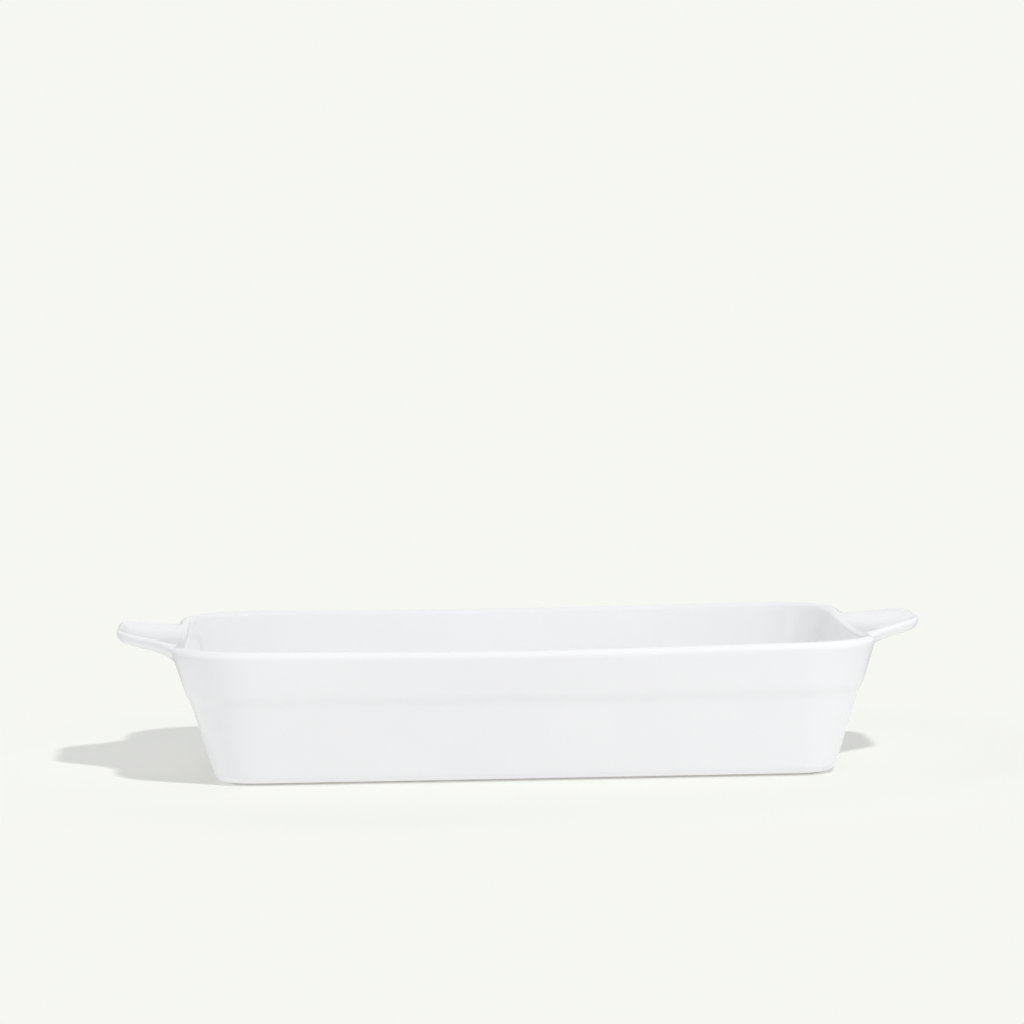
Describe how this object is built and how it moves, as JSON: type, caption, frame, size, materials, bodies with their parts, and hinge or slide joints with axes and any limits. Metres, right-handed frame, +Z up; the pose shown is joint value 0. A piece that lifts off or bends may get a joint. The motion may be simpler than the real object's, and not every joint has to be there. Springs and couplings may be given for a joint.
{
  "type": "rectangular baking dish",
  "caption": "Rectangular glazed stoneware baking dish with flared walls, a thick stepped rim band, a rounded lip, a beaded tab handle at each end and a bare clay foot ring.",
  "frame": {"origin": "on the table, under the middle of the dish", "axes": "+X along the length, through both handles; +Y across the width, to the back of the dish; +Z up"},
  "size_m": [0.3948, 0.2372, 0.0692],
  "materials": {
    "white_glaze": "glossy white glaze fired on",
    "bare_stoneware": "unglazed, ground flat"
  },
  "bodies": {
    "root": {"dish_body": "white_glaze", "left_handle": "white_glaze", "right_handle": "white_glaze", "foot_ring": "bare_stoneware"}
  },
  "joints": []
}
